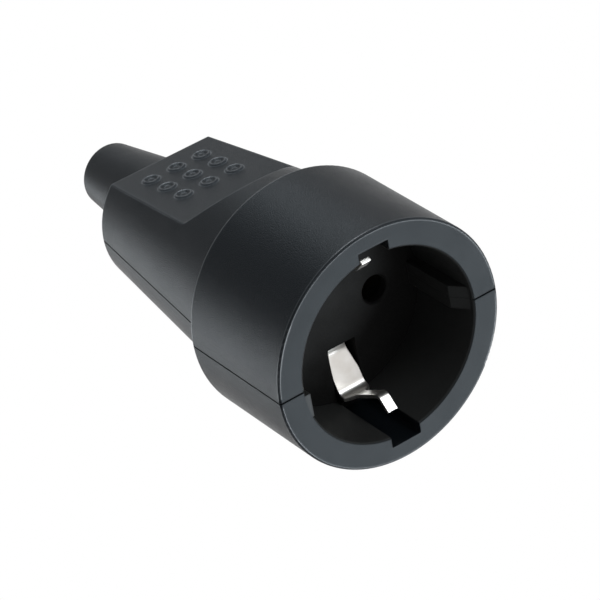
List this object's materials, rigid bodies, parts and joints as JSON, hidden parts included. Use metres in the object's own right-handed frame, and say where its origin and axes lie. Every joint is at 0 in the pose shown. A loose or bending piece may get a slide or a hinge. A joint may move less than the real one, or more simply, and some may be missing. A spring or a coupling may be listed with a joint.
{
  "type": "inline socket connector",
  "caption": "Rewirable inline socket for a cable: round recess with side earth clips, a tapered grip and a bend sleeve.",
  "frame": {"origin": "centre of the mating face, on the axis of the socket", "axes": "+Z along the socket's axis from the mating face to the cable end, +Y to the side with the grip rings, +X to the left of someone who looks into the recess with the grip rings up"},
  "size_m": [0.05, 0.05, 0.0971],
  "materials": {
    "housing": "black plastic with a fine moulded grain",
    "carrier": "black moulded thermoset",
    "clamp_plastic": "black moulded plastic",
    "sleeve_rubber": "black rubber",
    "spring_strip": "nickel-plated spring strip",
    "plated_steel": "zinc-plated steel",
    "contact_brass": "bright brass"
  },
  "bodies": {
    "root": {"upper_shell": "housing", "lower_shell": "housing", "contact_carrier": "carrier", "earth_bracket": "spring_strip", "earth_clamp": "plated_steel", "earth_screw": "plated_steel", "line_contact_left": "contact_brass", "line_contact_right": "contact_brass", "contact_spring_left": "plated_steel", "contact_spring_right": "plated_steel", "line_clamp_left": "plated_steel", "line_clamp_right": "plated_steel", "line_screw_left": "plated_steel", "line_screw_right": "plated_steel", "cable_bar": "clamp_plastic", "cable_screw_left": "plated_steel", "cable_screw_right": "plated_steel", "housing_screw_left": "plated_steel", "housing_screw_right": "plated_steel", "housing_screw_rear": "plated_steel", "bend_sleeve": "sleeve_rubber"}
  },
  "joints": []
}
